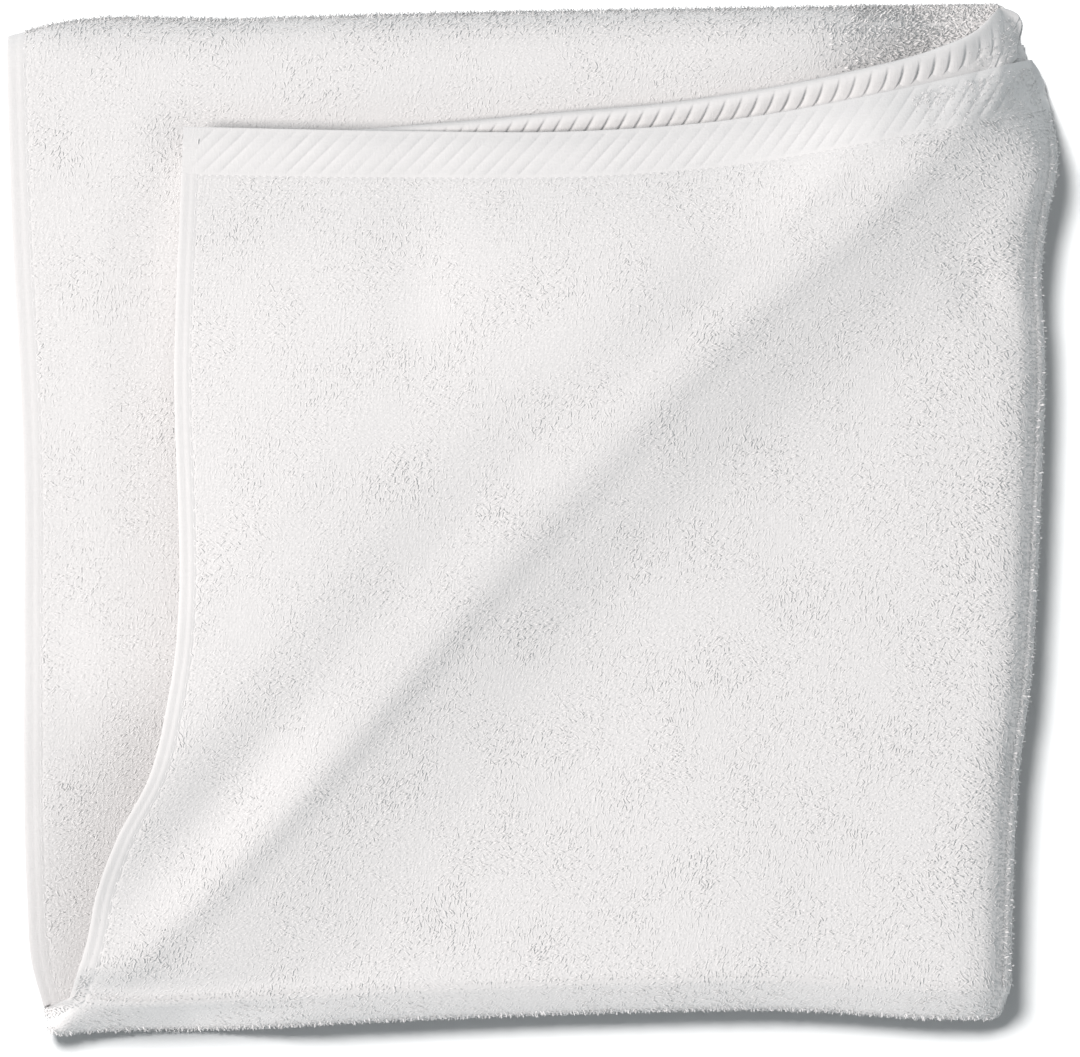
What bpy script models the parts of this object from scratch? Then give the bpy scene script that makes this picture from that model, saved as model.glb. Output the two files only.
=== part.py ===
"""Bath towel of white cotton terry, folded to a near square.

The cloth is folded in half across its width, with the fold down the right side. The doubled strip is
then halved twice, which makes four strips of two layers each. The two upper strips are pulled in at their
top left corner, and a soft diagonal ridge rises between that corner and the fold. The towel lies on its
lowest layer, which is flat.
"""

import math
from dataclasses import dataclass

import bpy
import numpy as np

MM = 0.001

# The cloth, with its pile, and the clear space between two layers of the stack.
LAYER_THICKNESS = 3.3 * MM
LAYER_GAP = 0.6 * MM
PITCH = LAYER_THICKNESS + LAYER_GAP
# The end bands and the side hems carry no pile, so they are thinner.
HEM_THICKNESS = 2.4 * MM
END_BAND = 16 * MM
SIDE_HEM = 5.5 * MM

# How far a fold bulges, as a share of a half circle.
BOTTOM_BULGE = 0.75
TOP_BULGE = 0.93
SIDE_BULGE = 0.95

# Outlines of the flat part of each strip, in millimetres from the middle of the bundle: (x, y).
# A bend or the side fold lies outside them, and a hem ends on them.
TOP_HEM = ((-120, 135), (-45, 133.5), (19, 133.5), (66, 137), (113, 145), (147, 152.5), (173, 159))
UNDER_HEM = ((-118, 132.5), (-80, 133), (-38, 136), (7, 140), (51, 144), (89, 150), (113, 155),
             (140, 162), (156, 166.5), (165, 174))
UPPER_FOLD = ((-181.5, 161), (-166, 165.5), (-100, 165.5), (-41, 167), (62, 169), (127, 170.5), (163, 170))
LOWER_FOLD = ((-148, -166.5), (-112, -166), (-71, -163.5), (-29, -161.5), (27, -159.5), (98, -159),
              (134, -161.5))
PULLED_SIDE = ((-120, 135), (-122.5, 58), (-124, -60), (-131, -89), (-142, -110), (-150, -131),
               (-161, -165.5))
UNDER_SIDE = (UNDER_HEM[0], *PULLED_SIDE[1:])
RESTING_SIDE = ((-181.5, 161), (-179, 110), (-175, 13), (-175.5, -42), (-175, -132), (-174, -154),
                (-172, -165))
TOP_SIDE_FOLD = ((173, 159), (176, 144), (178, 121), (174.5, 103), (172.5, 80), (173.5, 65), (173, 23),
                 (171.5, -14), (169, -55), (165, -87), (163, -122), (162, -157))
SECOND_SIDE_FOLD = ((165, 174), (168, 166), (168, 159), (172, 146), (175, 121), (172, 103), (170, 80),
                    (171, 60), (170.5, 20), (169, -14), (167, -55), (163, -87), (161, -122), (160, -157))
RESTING_SIDE_FOLD = ((163, 170), (167, 158), (171, 125), (169, 90), (168, 20), (163, -60), (160, -95),
                     (159, -157))

# The diagonal ridge over the two upper strips: its line, its rise and its half width.
RIDGE_LINE = ((-142, -141), (-66, -66), (-18, -13), (28, 37), (75, 84), (122, 125), (146, 146))
RIDGE_RISE = 5 * MM
RIDGE_HALF_WIDTH = 15 * MM
RIDGE_FADE = 45 * MM

# Facets of the solid.
COLUMNS = 19
PULLED_ROWS = 19
RESTING_ROWS = 9
SIDE_FOLD_COLUMNS = 4

TOWEL_WHITE = (0.86, 0.86, 0.85, 1.0)
TERRY_ROUGHNESS = 0.95


@dataclass
class Strip:
    """A flat strip of two layers. Faces is 1 where the cloth's outer face looks up, and -1 where it looks down."""

    top: tuple
    left: tuple
    right: tuple
    level: float
    faces: int
    pulled: bool


# The strips in the order that the cloth runs through them, from the end hem on top to the one beneath it.
# The level of a strip's middle counts layers from the lowest.
STRIPS = (
    Strip(TOP_HEM, PULLED_SIDE, TOP_SIDE_FOLD, level=6.5, faces=1, pulled=True),
    Strip(UPPER_FOLD, RESTING_SIDE, RESTING_SIDE_FOLD, level=0.5, faces=-1, pulled=False),
    Strip(UPPER_FOLD, RESTING_SIDE, RESTING_SIDE_FOLD, level=2.5, faces=1, pulled=False),
    Strip(UNDER_HEM, UNDER_SIDE, SECOND_SIDE_FOLD, level=4.5, faces=-1, pulled=True),
)
# The bends between them: (facets round the bend, bulge, 1 at the top edge or -1 at the bottom edge).
BENDS = ((6, BOTTOM_BULGE, -1), (4, TOP_BULGE, 1), (4, BOTTOM_BULGE, -1))


def smooth_step(t):
    t = np.clip(t, 0.0, 1.0)
    return t * t * (3.0 - 2.0 * t)


def curve_at(points, t):
    """Places at shares t of a smooth curve through the points, which are in millimetres."""
    knots = np.array(points, float) * MM
    steps = np.linalg.norm(np.diff(knots, axis=0), axis=1)
    reach = np.concatenate(([0.0], np.cumsum(steps))) / steps.sum()
    slopes = np.gradient(knots, reach, axis=0)
    t = np.clip(np.atleast_1d(t), 0.0, 1.0)
    k = np.clip(np.searchsorted(reach, t, side="right") - 1, 0, len(reach) - 2)
    span = (reach[k + 1] - reach[k])[:, None]
    u = (t[:, None] - reach[k][:, None]) / span
    start = (2 * u**3 - 3 * u**2 + 1) * knots[k] + (u**3 - 2 * u**2 + u) * span * slopes[k]
    end = (3 * u**2 - 2 * u**3) * knots[k + 1] + (u**3 - u**2) * span * slopes[k + 1]
    return start + end


def plan(strip, across, along):
    """Plan places in a strip: across from its left side to its fold, along from its top to its bottom."""
    a = across[:, None, None]
    b = along[None, :, None]
    top = curve_at(strip.top, across)[:, None, :]
    bottom = curve_at([strip.left[-1], *LOWER_FOLD, strip.right[-1]], across)[:, None, :]
    left = curve_at(strip.left, along)[None, :, :]
    right = curve_at(strip.right, along)[None, :, :]
    left_corners = (1 - b) * top[:1] + b * bottom[:1]
    right_corners = (1 - b) * top[-1:] + b * bottom[-1:]
    return (1 - b) * top + b * bottom + (1 - a) * (left - left_corners) + a * (right - right_corners)


def ridge_rise(places):
    """How far the diagonal ridge lifts the upper strips at plan places."""
    line = curve_at(RIDGE_LINE, np.linspace(0.0, 1.0, 61))
    apart = np.linalg.norm(places[..., None, :] - line, axis=-1)
    nearest = apart.min(axis=-1)
    runs_out = np.minimum(apart[..., 0], apart[..., -1])
    fade = smooth_step(runs_out / RIDGE_FADE)
    return RIDGE_RISE * fade * np.exp(-0.5 * (nearest / RIDGE_HALF_WIDTH) ** 2)


def section_columns():
    """Columns from one side hem, over the side fold, to the other: share across, and turn round the fold."""
    width = TOP_SIDE_FOLD[-1][0] - PULLED_SIDE[-1][0]
    shares = np.concatenate(([0.0], np.linspace(SIDE_HEM / (width * MM), 1.0, COLUMNS)))
    turns = np.linspace(0.0, math.pi, SIDE_FOLD_COLUMNS + 1)[1:-1]
    across = np.concatenate((shares, np.ones(len(turns)), shares[::-1]))
    turn = np.concatenate((np.zeros(len(shares)), turns, np.full(len(shares), math.pi)))
    return across, turn


def rows_along(strip):
    """Shares along a strip. A strip that starts with an end band has a row on the band's edge."""
    if not strip.pulled:
        return np.linspace(0.0, 1.0, RESTING_ROWS + 1)
    length = TOP_HEM[0][1] - LOWER_FOLD[0][1]
    return np.concatenate(([0.0], np.linspace(END_BAND / (length * MM), 1.0, PULLED_ROWS)))


def strip_rows(strip, across, downward):
    """The rows of a flat strip, in the order that the cloth runs: down the strip, or up it."""
    along = rows_along(strip) if downward else rows_along(strip)[::-1]
    shares = np.unique(across)
    ones = np.ones(len(along))
    return {
        "places": plan(strip, shares, along)[np.searchsorted(shares, across)].transpose(1, 0, 2),
        "level": strip.level * ones,
        "radius": 0.0 * ones,
        "sense": ones,
        "rise": strip.faces * ones,
        "swing": 0.0 * ones,
        "lifted": strip.pulled * ones,
        "hemmed": (along == 0.0) & strip.pulled,
    }


def bend_rows(before, after, facets_round, bulge, edge):
    """The rows of a bend, which carries the cloth from the last row before it to the first row after it."""
    turns = np.linspace(0.0, math.pi, facets_round + 1)[1:-1]
    ones = np.ones(len(turns))
    start, end = before["level"][-1], after["level"][0]
    falls = np.sign(start - end)
    # A pulled strip comes back to the resting outline early in its turn.
    from_pulled = before["lifted"][-1] > 0
    share = (np.sin(turns / 2) if from_pulled else 1.0 - np.cos(turns / 2))[:, None, None]
    return {
        "places": (1 - share) * before["places"][-1] + share * after["places"][0],
        "level": (start + end) / 2 * ones,
        "radius": abs(start - end) / 2 * PITCH * ones,
        "sense": falls * before["rise"][-1] * ones,
        "rise": falls * np.cos(turns),
        "swing": edge * bulge * np.sin(turns),
        "lifted": 0.0 * ones,
        "hemmed": np.zeros(len(turns), bool),
    }


def towel_rows(across):
    """Every row of the cloth, from the end hem on top, down through the stack, to the end hem beneath it.

    A row's points stand off its middle by radius plus sense times their own offset. Rise is the share of that
    which goes up, and swing is the share that goes outwards along Y.
    """
    strips = [strip_rows(strip, across, k % 2 == 0) for k, strip in enumerate(STRIPS)]
    parts = strips[:1]
    for bend, before, after in zip(BENDS, strips, strips[1:]):
        parts += [bend_rows(before, after, *bend), after]
    return {name: np.concatenate([rows[name] for rows in parts]) for name in parts[0]}


def cloth_face(rows, across, turn, side):
    """Points of one face of the cloth: side is 1 on the face outside the side fold and -1 inside it."""
    thin = rows["hemmed"][:, None] | (across == 0.0)[None, :]
    half = np.where(thin, HEM_THICKNESS, LAYER_THICKNESS) / 2
    reach = 0.5 * PITCH + side * half
    off = rows["sense"][:, None] * reach * np.cos(turn) + rows["radius"][:, None]
    points = np.empty(off.shape + (3,))
    points[..., :2] = rows["places"]
    points[..., 0] += SIDE_BULGE * reach * np.sin(turn)
    points[..., 1] += rows["swing"][:, None] * off
    middle = LAYER_THICKNESS / 2 + rows["level"] * PITCH
    points[..., 2] = middle[:, None] + rows["rise"][:, None] * off
    points[..., 2] += rows["lifted"][:, None] * ridge_rise(points[..., :2])
    return points


def facets(points, first, flip):
    """Triangles over a grid of points, split along the ridge's way, numbered from first."""
    count, width = points.shape[:2]
    faces = []
    for j in range(count - 1):
        for i in range(width - 1):
            a, b = first + j * width + i, first + j * width + i + 1
            c, d = b + width, a + width
            slant = points[j + 1, i, :2] - points[j, i + 1, :2]
            pair = [(a, b, d), (b, c, d)] if slant[0] * slant[1] > 0 else [(a, b, c), (a, c, d)]
            faces += [face[::-1] for face in pair] if flip else pair
    return faces


def border(count, width):
    """Point numbers round the edge of a grid, in order."""
    top = [(0, i) for i in range(width)]
    right = [(j, width - 1) for j in range(1, count)]
    bottom = [(count - 1, i) for i in range(width - 2, -1, -1)]
    left = [(j, 0) for j in range(count - 2, 0, -1)]
    return [j * width + i for j, i in top + right + bottom + left]


def make_towel():
    """The folded cloth as one closed solid: its two faces and the wall round its edge."""
    across, turn = section_columns()
    rows = towel_rows(across)
    outside = cloth_face(rows, across, turn, 1)
    inside = cloth_face(rows, across, turn, -1)
    size = outside.shape[0] * outside.shape[1]
    faces = facets(outside, 0, False) + facets(inside, size, True)
    edge = border(*outside.shape[:2])
    for here, there in zip(edge, edge[1:] + edge[:1]):
        faces += [(there, here, here + size), (there, here + size, there + size)]
    points = np.concatenate((outside.reshape(-1, 3), inside.reshape(-1, 3)))
    points[:, :2] -= (points[:, :2].min(axis=0) + points[:, :2].max(axis=0)) / 2
    mesh = bpy.data.meshes.new("towel")
    mesh.from_pydata(points.tolist(), [], faces)
    if signed_volume(points, faces) < 0:
        mesh.flip_normals()
    towel = bpy.data.objects.new("towel", mesh)
    bpy.context.scene.collection.objects.link(towel)
    return towel


def signed_volume(points, faces):
    """Volume inside the triangles, below zero where they face inwards."""
    a, b, c = (points[np.array(faces)[:, k]] for k in range(3))
    return float(np.einsum("ij,ij->i", a, np.cross(b, c)).sum() / 6)


def terry_material():
    material = bpy.data.materials.new("white cotton terry")
    material.use_nodes = True
    shader = material.node_tree.nodes["Principled BSDF"]
    shader.inputs["Base Color"].default_value = TOWEL_WHITE
    shader.inputs["Roughness"].default_value = TERRY_ROUGHNESS
    shader.inputs["Metallic"].default_value = 0.0
    material.diffuse_color = TOWEL_WHITE
    return material


for thing in list(bpy.data.objects):
    bpy.data.objects.remove(thing)
towel_object = make_towel()
towel_object.data.materials.append(terry_material())
towel_object.data.shade_smooth()
towel_object.data.set_sharp_from_angle(angle=math.radians(40))
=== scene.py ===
# %% [markdown]
# # A folded bath towel
# The real thing is one piece of white cotton terry, 70 by 140 cm. Its ground is a thin woven cloth, its
# face is a deep pile of yarn loops, its two ends have a flat woven band with slanting ribs, and its long
# sides have a narrow stitched hem. It is folded in half across, then twice along, and two of its four
# strips are pulled askew. Here the cloth is one fine surface on those folds, and the pile, bands, hems and
# stitches are laid on it.

# %% Load the frame
import math

import bpy
import numpy as np
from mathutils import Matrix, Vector


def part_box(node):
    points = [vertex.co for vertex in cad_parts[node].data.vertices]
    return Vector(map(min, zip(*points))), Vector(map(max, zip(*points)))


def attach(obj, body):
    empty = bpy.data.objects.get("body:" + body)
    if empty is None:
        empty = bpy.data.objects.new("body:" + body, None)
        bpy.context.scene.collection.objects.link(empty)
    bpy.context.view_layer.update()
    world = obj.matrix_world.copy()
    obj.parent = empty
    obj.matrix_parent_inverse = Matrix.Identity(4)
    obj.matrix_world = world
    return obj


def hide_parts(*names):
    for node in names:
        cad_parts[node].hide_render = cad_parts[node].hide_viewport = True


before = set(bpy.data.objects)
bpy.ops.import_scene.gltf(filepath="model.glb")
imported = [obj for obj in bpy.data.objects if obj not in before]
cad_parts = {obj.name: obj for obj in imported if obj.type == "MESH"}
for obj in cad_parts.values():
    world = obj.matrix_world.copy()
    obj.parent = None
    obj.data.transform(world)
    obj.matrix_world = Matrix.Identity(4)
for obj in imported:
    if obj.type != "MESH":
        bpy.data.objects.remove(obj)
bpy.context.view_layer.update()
LOWEST, HIGHEST = (np.array(corner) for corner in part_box("towel"))
MM = 0.001
print("folded towel, in millimetres:", np.round((HIGHEST - LOWEST) / MM, 1))

# %% [markdown]
# ## The camera
# The towel is seen from straight above. A long lens from three metres keeps its sides out of sight, as a
# copy stand does. The frame is a little wider than the towel, and its middle is a little right of and below
# the towel's.

# %% Camera
FRAME_WIDTH = 372.6 * MM
CAMERA_HEIGHT = 3.0
SENSOR_WIDTH = 36.0
LOOKS_AT = Vector((2.9 * MM, -3.6 * MM, 0.02))

camera = bpy.data.objects.new("camera", bpy.data.cameras.new("camera"))
bpy.context.scene.collection.objects.link(camera)
camera.location = LOOKS_AT + Vector((0, 0, CAMERA_HEIGHT))
camera.data.sensor_width = SENSOR_WIDTH
camera.data.lens = SENSOR_WIDTH * CAMERA_HEIGHT / FRAME_WIDTH
camera.data.clip_start = 0.1
camera.data.clip_end = 20.0
bpy.context.scene.camera = camera
print("lens", round(camera.data.lens), "mm")

# %% [markdown]
# ## The folds
# A folded cloth can be draped by a simulation, but eight tight layers would take long and come out
# crumpled. The folds here are regular, so each is a formula: four flat strips, three bends between them,
# and a side fold that turns the doubled cloth over. Each strip is filled in between its four outlines.

# %% Sizes of the cloth and outlines of its strips
STRIP_WIDTH = 330 * MM
STRIP_LENGTH = 300 * MM
PITCH = 3.9 * MM
LAYER_THICKNESS = 3.3 * MM
# How far each kind of fold swells out, as a share of a half round.
BOTTOM_BULGE = 0.75
TOP_BULGE = 0.93
SIDE_BULGE = 0.95
# The share of its swelling that each bend loses at the hem, and how far in from the hem that reaches.
HEM_DRAWN_IN = (0.88, 0.0, 0.9)
DRAWN_IN_WIDTH = 10 * MM
# How far the first bend curls outwards beside its hem, and over what widths that grows and fades.
CURL = 6.5 * MM
CURL_GROWS = 9 * MM
CURL_FADES_FROM, CURL_FADES_OVER = 11 * MM, 32 * MM

# Millimetres from the middle of the bundle: (x, y).
TOP_HEM = ((-120, 135), (-45, 133.5), (19, 133.5), (66, 137), (113, 145), (147, 152.5), (173, 159))
UNDER_HEM = ((-118, 132.5), (-80, 133), (-38, 136), (7, 140), (51, 144), (89, 150), (113, 155),
             (140, 162.5), (154, 169), (162, 177))
UPPER_FOLD = ((-181.5, 160.5), (-166, 164.6), (-100, 166.5), (-41, 168.2), (62, 170), (127, 171),
              (162, 171.5))
LOWER_FOLD = ((-148, -166.5), (-112, -166), (-71, -163.5), (-29, -161.5), (27, -159.5), (98, -159),
              (134, -161.5))
PULLED_SIDE = ((-120, 135), (-122.5, 58), (-124, -60), (-131, -89), (-142, -110), (-149, -129),
               (-152.5, -146), (-159, -165.5))
UNDER_SIDE = (UNDER_HEM[0], *PULLED_SIDE[1:])
RESTING_SIDE = ((-181.5, 160.5), (-180, 110), (-175.5, 13), (-175.5, -42), (-174.5, -132), (-173, -154),
                (-169, -169))
TOP_SIDE_FOLD = ((173, 159), (176, 144), (178, 121), (174.5, 103), (172.5, 80), (173.5, 65), (173, 23),
                 (171.5, -14), (169, -55), (165, -87), (163, -122), (162, -162))
SECOND_SIDE_FOLD = ((162, 177), (168, 170), (168.5, 159), (172, 146), (175, 121), (172, 103), (170, 80),
                    (171, 60), (170.5, 20), (169, -14), (167, -55), (163, -87), (161, -122), (160, -162))
RESTING_SIDE_FOLD = ((162, 171.5), (167, 158), (171, 125), (169, 90), (168, 20), (163, -60), (160, -95),
                     (159, -162))

# The strips in the order that the cloth runs through them, from the end hem on top to the one beneath it.
RESTING = {"top": UPPER_FOLD, "left": RESTING_SIDE, "right": RESTING_SIDE_FOLD, "pulled": 0.0}
STRIPS = (
    {"top": TOP_HEM, "left": PULLED_SIDE, "right": TOP_SIDE_FOLD, "level": 6.5, "faces": 1, "pulled": 1.0},
    {**RESTING, "level": 0.5, "faces": -1},
    {**RESTING, "level": 2.5, "faces": 1},
    {"top": UNDER_HEM, "left": UNDER_SIDE, "right": SECOND_SIDE_FOLD, "level": 4.5, "faces": -1,
     "pulled": 1.0},
)
# The bends between them: (bulge, 1 at the top edge or -1 at the bottom edge).
BENDS = ((BOTTOM_BULGE, -1), (TOP_BULGE, 1), (BOTTOM_BULGE, -1))
print(len(STRIPS), "strips of doubled cloth, with layers", round(PITCH / MM, 1), "mm apart")


# %% Curves through a few points, and the plan of a strip
def smooth_step(t):
    """From 0 to 1 as t does, level at both ends."""
    t = np.clip(t, 0.0, 1.0)
    return t * t * (3.0 - 2.0 * t)


def fade_in(place, start, length):
    """From 0 at a start to 1 a length further on, both in millimetres. A length may be negative."""
    return smooth_step((place / MM - start) / length)


def outline_at(points, x):
    """The y of an outline at each x in plan."""
    line = np.array(points) * MM
    return np.interp(x, line[:, 0], line[:, 1])


def curve_at(points, t):
    """Places at shares t of a smooth curve through points given in millimetres."""
    knots = np.array(points, float) * MM
    steps = np.linalg.norm(np.diff(knots, axis=0), axis=1)
    reach = np.concatenate(([0.0], np.cumsum(steps))) / steps.sum()
    slopes = np.gradient(knots, reach, axis=0)
    t = np.clip(t, 0.0, 1.0)
    k = np.clip(np.searchsorted(reach, t, side="right") - 1, 0, len(reach) - 2)
    span = (reach[k + 1] - reach[k])[..., None]
    u = (t - reach[k])[..., None] / span
    start = (2 * u**3 - 3 * u**2 + 1) * knots[k] + (u**3 - 2 * u**2 + u) * span * slopes[k]
    end = (3 * u**2 - 2 * u**3) * knots[k + 1] + (u**3 - u**2) * span * slopes[k + 1]
    return start + end


def plan(strip, across, along):
    """Plan places in a strip: across from its left side to its fold, along from its top to its bottom."""
    a, b = across[..., None], along[..., None]
    bottom_outline = [strip["left"][-1], *LOWER_FOLD, strip["right"][-1]]
    top, bottom = curve_at(strip["top"], across), curve_at(bottom_outline, across)
    left, right = curve_at(strip["left"], along), curve_at(strip["right"], along)
    left_corners = (1 - b) * np.array(strip["top"][0]) * MM + b * np.array(strip["left"][-1]) * MM
    right_corners = (1 - b) * np.array(strip["top"][-1]) * MM + b * np.array(strip["right"][-1]) * MM
    return (1 - b) * top + b * bottom + (1 - a) * (left - left_corners) + a * (right - right_corners)


print("middle of the top strip, in millimetres:",
      np.round(plan(STRIPS[0], np.array(0.5), np.array(0.5)) / MM, 1))


# %% Rows of the cloth
def strip_rows(number, across, along):
    """Rows of one of the flat strips, at shares across it and along it."""
    strip, ones = STRIPS[number], np.ones(np.broadcast(across, along).shape)
    return {
        "places": plan(strip, across, along),
        "level": strip["level"] * ones,
        "radius": 0 * ones,
        "sense": ones,
        "rise": strip["faces"] * ones,
        "swing": 0 * ones,
        "pulled": strip["pulled"] * ones,
    }


def bend_rows(number, across, turns):
    """Rows of one of the bends, which carries the cloth round from the strip before it to the next one."""
    before, after = STRIPS[number], STRIPS[number + 1]
    bulge, edge = BENDS[number]
    ones = np.ones(np.broadcast(across, turns).shape)
    falls = 1 if before["level"] > after["level"] else -1
    # The share of the way from one outline to the other: under a pulled strip most of it comes at once.
    share = (1 - (1 - np.sin(turns / 2)) ** 2.2 if before["pulled"] else 1 - np.cos(turns / 2)) * ones
    at = ones if edge < 0 else 0 * ones
    start, end = plan(before, across, at), plan(after, across, at)
    inward = across * STRIP_WIDTH
    drawn_in = 1 - HEM_DRAWN_IN[number] * (1 - smooth_step(inward / DRAWN_IN_WIDTH))
    places = (1 - share)[..., None] * start + share[..., None] * end
    if number == 0:
        fading = smooth_step((inward - CURL_FADES_FROM) / CURL_FADES_OVER)
        curled = smooth_step(inward / CURL_GROWS) * (1 - fading)
        places[..., 0] -= CURL * curled * np.sin(turns)
    return {
        "places": places,
        "level": (before["level"] + after["level"]) / 2 * ones,
        "radius": abs(before["level"] - after["level"]) / 2 * PITCH * ones,
        "sense": falls * before["faces"] * ones,
        "rise": falls * np.cos(turns) * ones,
        "swing": edge * bulge * np.sin(turns) * drawn_in,
        "pulled": before["pulled"] * (1 - share) + after["pulled"] * share,
    }


def cloth_rows(across, alongs, turns):
    """Every row of the cloth: alongs holds the shares along each strip, and turns those round each bend."""
    parts = []
    for number in range(4):
        parts.append(strip_rows(number, across[None, :], alongs[number][:, None]))
        if number < 3:
            parts.append(bend_rows(number, across[None, :], turns[number][:, None]))
    return {name: np.concatenate([part[name] for part in parts]) for name in parts[0]}


print("a row of the cloth holds:", ", ".join(strip_rows(0, np.zeros(1), np.zeros(1))))

# %% [markdown]
# ## The ridge, the dips and the worn-in unevenness
# The pulled strips have more cloth than room, so they stand up in a soft ridge along the diagonal, with a
# sharp crease at its foot and a shallow trough behind it. Sculpting by hand would also do it. A table of
# heights across the crease, at five stations along it, keeps the shape readable and easy to change. Smaller
# dips, the lumps that any soft stack has, and the corners and folds that fall away are added to it.

# %% Heights of the ridge
CREASE = ((-144, -166), (-112, -137), (-65, -87), (-17, -33), (30, 17), (78, 64), (125, 105), (149, 131),
          (172, 158))
# Shares of the crease's length at which the heights are given.
STATIONS = (0.1, 0.3, 0.5, 0.7, 0.88)
# Millimetres: distance across the crease, towards the pulled corner, and the height there at each station.
RIDGE = (
    (-60, 0.0, 0.0, 0.0, 0.0, 0.0),
    (-48, 0.4, 0.6, 0.2, 0.2, 0.0),
    (-39, 1.7, 1.2, 0.6, 0.7, 0.2),
    (-30, 3.3, 2.4, 1.3, 1.7, 1.9),
    (-24, 4.5, 3.4, 2.2, 2.9, 2.9),
    (-18, 5.8, 4.5, 3.6, 4.4, 4.4),
    (-12, 7.2, 5.8, 5.2, 6.2, 6.4),
    (-6, 8.7, 7.3, 6.6, 7.9, 8.3),
    (-3, 9.7, 8.2, 7.4, 8.6, 9.4),
    (0, 11.3, 9.7, 8.6, 9.8, 10.9),
    (3, 12.9, 11.1, 9.6, 10.9, 12.0),
    (6, 13.8, 11.7, 10.3, 11.6, 12.8),
    (12, 14.3, 12.1, 10.9, 12.1, 13.2),
    (18, 14.4, 12.2, 10.8, 11.8, 13.1),
    (27, 14.6, 12.6, 10.8, 12.9, 14.2),
    (36, 15.1, 13.8, 11.6, 14.1, 15.2),
    (45, 15.1, 14.9, 12.3, 14.4, 15.3),
    (57, 14.6, 15.1, 12.3, 14.0, 14.3),
    (75, 13.2, 14.6, 11.2, 12.8, 12.3),
    (100, 9.6, 11.9, 8.9, 9.6, 8.9),
    (140, 5.5, 6.4, 4.9, 5.5, 4.9),
    (190, 1.3, 1.3, 1.3, 1.3, 1.3),
)
print("the ridge stands up to", max(max(row[1:]) for row in RIDGE), "mm over the flat stack")

# %% Dips, rolled folds and fallen corners
# Local dips and swells of the upper strips, in millimetres and degrees:
# (x, y, height, half length, half width, turn).
UPPER_DIPS = (
    (159, 72, -0.9, 13, 6, 120),
    (166, 86, 0.5, 10, 6, 120),
    (-40, 86, -0.8, 28, 10, 90),
    (-122, -118, -4.5, 32, 13, 45),
    (-96, -86, -1.6, 22, 9, 45),
)
# How far the pulled strips sink at their end, in millimetres, and the share of it that the strips below do.
END_SINK = 6.5
PRESSED_BELOW = 0.45
# Millimetres over which that fades: in from the end's edge, and out beyond it.
END_FADE, BEYOND_FADE = 45, 15
# Millimetres in from the end at which the ridge is whole: at the left, and how much sooner at the right.
RIDGE_REACH, SOONER_AT_RIGHT = 70, 35
# Height and lengths of the lumps that any soft stack has.
LUMP, LUMP_LENGTHS = 0.10 * MM, (40 * MM, 110 * MM)
# How far corners fall away, in millimetres: (drop, start in x, length in x, start in y, length in y).
UPPER_CORNERS = ((22.0, 150, 30, 126, 30), (7.0, 122, 35, 118, 30))
LOWER_FAR_CORNER = (16.0, 104, 50, 130, 28)
LOWER_NEAR_CORNER = (9.6, -173, 48, -44, -50)
# How far the side fold and the top fold are rolled down at their edges, and over what widths.
SIDE_ROLL = 5.2 * MM
SIDE_ROLL_WIDTH = 16.5 * MM
TOP_ROLL = 2.0 * MM
TOP_ROLL_WIDTH = 7.5 * MM
# How far the resting strips are pressed beside the pulled side, close to it and again further out, and the
# millimetres that each reaches.
BESIDE_PULLED_SIDE = 2.5 * MM
CLOSE_BESIDE, WIDE_BESIDE = 35, 55
# Keeps the stack's height above nothing where a fallen corner would press it through the floor.
SOFTENING = 0.03
STACK_TOP = 7 * PITCH + LAYER_THICKNESS
RESTING_TOP = 3 * PITCH + LAYER_THICKNESS
print("flat stack:", round(STACK_TOP / MM, 1), "mm; resting strips:", round(RESTING_TOP / MM, 1), "mm")


# %% Height of the ridge at a place
def smoothed(values, reach):
    """A row of values blurred over about reach samples each way."""
    weights = np.exp(-0.5 * (np.arange(-3 * reach, 3 * reach + 1) / reach) ** 2)
    padded = np.pad(values, 3 * reach, mode="edge")
    return np.convolve(padded, weights / weights.sum(), mode="valid")


def ridge_height(x, y):
    """Height of the ridge at plan places, from the distance across the crease and the share along it."""
    line = curve_at(CREASE, np.linspace(0.0, 1.0, 221))
    line_along = (line[:, 0] + line[:, 1]) / math.sqrt(2)
    line_across = (line[:, 1] - line[:, 0]) / math.sqrt(2)
    along = (x + y) / math.sqrt(2)
    across = ((y - x) / math.sqrt(2) - np.interp(along, line_along, line_across)) / MM
    share = np.interp(along, line_along, np.linspace(0.0, 1.0, 221))
    table, stations = np.array(RIDGE), np.array(STATIONS)
    offsets = np.arange(-80, 200, 0.5)
    columns = [smoothed(np.interp(offsets, table[:, 0], column), 3) for column in table[:, 1:].T]
    at = np.stack([np.interp(across, offsets, column) for column in columns])
    k = np.clip(np.searchsorted(stations, share) - 1, 0, len(stations) - 2)
    blend = smooth_step((share - stations[k]) / (stations[k + 1] - stations[k]))
    low, high = (np.take_along_axis(at, j[None], axis=0)[0] for j in (k, k + 1))
    return MM * (low + (high - low) * blend)


print("ridge over the middle:", round(float(ridge_height(np.zeros(1), np.zeros(1))[0]) / MM, 1), "mm")


# %% Shapes of the dips, lumps and edges
def dips(table, x, y):
    """All the dips and swells of a table together, at plan places."""
    total = np.zeros_like(x)
    for centre_x, centre_y, height, half_length, half_width, turn in table:
        angle = math.radians(turn)
        along = (x / MM - centre_x) * math.cos(angle) + (y / MM - centre_y) * math.sin(angle)
        across = (y / MM - centre_y) * math.cos(angle) - (x / MM - centre_x) * math.sin(angle)
        total += height * MM * np.exp(-0.5 * ((along / half_length) ** 2 + (across / half_width) ** 2))
    return total


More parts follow.
